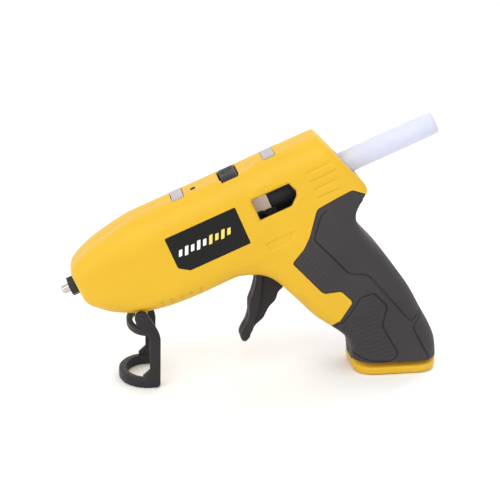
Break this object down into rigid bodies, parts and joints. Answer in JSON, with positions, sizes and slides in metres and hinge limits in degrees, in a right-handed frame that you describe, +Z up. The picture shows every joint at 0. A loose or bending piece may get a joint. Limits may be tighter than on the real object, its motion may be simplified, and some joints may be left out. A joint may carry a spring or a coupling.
{
  "type": "glue gun",
  "caption": "Cordless hot glue gun with a trigger, rubber grip, folding stand, side window, top power button and a translucent glue stick in its rear.",
  "frame": {"origin": "centre of the grip's base, on the surface the gun stands on", "axes": "+Z up, nozzle towards -X, +Y to the side away from the viewer in the picture, mid-plane y = 0"},
  "size_m": [0.1835, 0.0372, 0.1279],
  "materials": {
    "yellow_plastic": "satin moulded yellow",
    "grip_rubber": "soft black",
    "label_film": "printed film",
    "nickel_plated": "bright nickel",
    "black_silicone": "matte",
    "cast_aluminium": "as cast",
    "heater_ceramic": "matte",
    "spring_steel": "satin",
    "steel_pin": "ground",
    "insulator": "phenolic brown",
    "red_silicone": "matte",
    "glue": "translucent",
    "black_plastic": "fine texture",
    "beige_plastic": "satin",
    "circuit_board": "solder mask",
    "clear_grey_plastic": "frosted",
    "dark_lens": "smoked",
    "cell_wrap": "shrink wrapped",
    "screw_steel": "blackened",
    "wire_sleeve": "insulation"
  },
  "bodies": {
    "gun": {"left_housing": "yellow_plastic", "right_housing": "yellow_plastic", "left_grip_cover": "grip_rubber", "right_grip_cover": "grip_rubber", "left_label": "label_film", "right_label": "label_film", "nozzle_tip": "nickel_plated", "nozzle_sleeve": "black_silicone", "heating_barrel": "cast_aluminium", "heater_element": "heater_ceramic", "heater_clip": "spring_steel", "thermal_fuse": "steel_pin", "front_mount_ring": "insulator", "rear_mount_ring": "insulator", "inlet_sleeve": "red_silicone", "rear_guide": "black_plastic", "trigger_pin": "steel_pin", "trigger_spring": "spring_steel", "tact_switch": "black_plastic", "control_board": "circuit_board", "front_lens": "clear_grey_plastic", "rear_lens": "clear_grey_plastic", "indicator_lens": "dark_lens", "battery_cell": "cell_wrap", "battery_tabs": "nickel_plated", "charging_socket": "steel_pin", "charging_board": "circuit_board", "charging_flap": "grip_rubber", "housing_screws": "screw_steel", "stand_pivot_pin": "steel_pin", "heater_wires": "wire_sleeve", "battery_wires": "wire_sleeve"},
    "stick": {"glue_stick": "glue"},
    "carriage": {"feed_carriage": "black_plastic", "drive_pins": "steel_pin", "feed_jaw": "beige_plastic"},
    "trigger": {"trigger": "black_plastic"},
    "button": {"power_button": "black_plastic"},
    "stand": {"stand": "black_plastic"}
  },
  "joints": [
    {"name": "trigger_pull", "type": "hinge", "parent": "gun", "child": "trigger", "pos_m": [-0.062, 0, 0.058], "axis": [0, -1, 0], "range_deg": [0, 16], "stiffness_Nm_per_rad": 0.15, "springref_deg": -17.19, "deforming": ["trigger_spring"]},
    {"name": "carriage_slide", "type": "slide", "parent": "gun", "child": "carriage", "axis": [0.9198, 0, 0.3923], "range_m": [-0.0069, 0]},
    {"name": "glue_stick_feed", "type": "slide", "parent": "gun", "child": "stick", "axis": [0.9198, 0, 0.3923], "range_m": [-0.009, 0.12]},
    {"name": "power_button_press", "type": "slide", "parent": "gun", "child": "button", "axis": [0.3923, 0, -0.9198], "range_m": [0, 0.0005], "stiffness_N_per_m": 800, "springref_m": -0.0006},
    {"name": "stand_fold", "type": "hinge", "parent": "gun", "child": "stand", "pos_m": [-0.1252, 0, 0.0356], "axis": [0, -1, 0], "range_deg": [0, 45]}
  ],
  "couplings": [
    {"joint": "carriage_slide", "follows": "trigger_pull", "m_per_rad": -0.0241}
  ]
}
